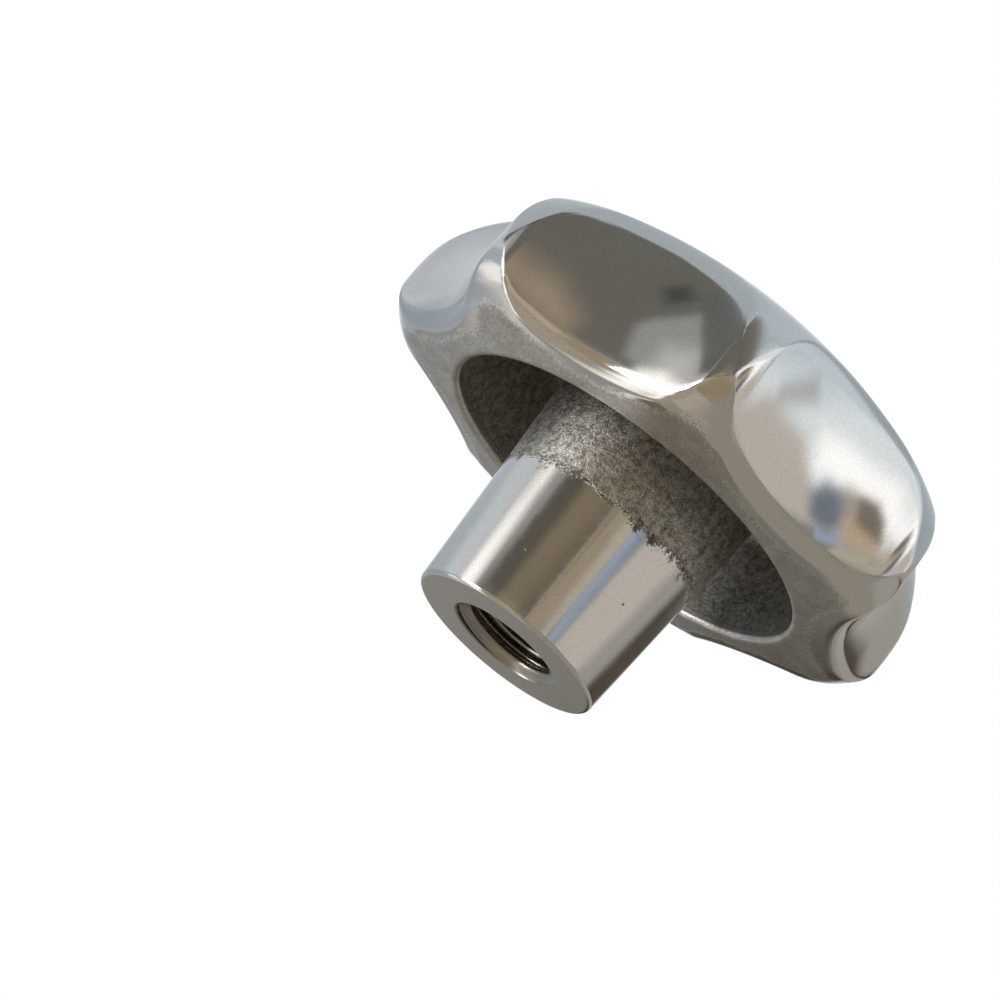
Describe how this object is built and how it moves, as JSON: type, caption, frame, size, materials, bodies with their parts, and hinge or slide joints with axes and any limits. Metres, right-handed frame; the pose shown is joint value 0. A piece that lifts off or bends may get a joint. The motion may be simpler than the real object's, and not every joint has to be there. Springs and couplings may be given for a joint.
{
  "type": "star knob",
  "caption": "One-piece cast star knob: lobed grip with a domed top and a hollow underside round a tapered hub with a blind threaded hole.",
  "frame": {"origin": "centre of the hub's seating face, at the mouth of the threaded hole", "axes": "+Z along the hub from its seating face into the domed head, +X through the tip of one lobe"},
  "size_m": [0.0602, 0.0616, 0.0413],
  "materials": {
    "steel": "mirror-polished outside, as-cast in the hollow"
  },
  "bodies": {
    "root": {"knob": "steel"}
  },
  "joints": []
}
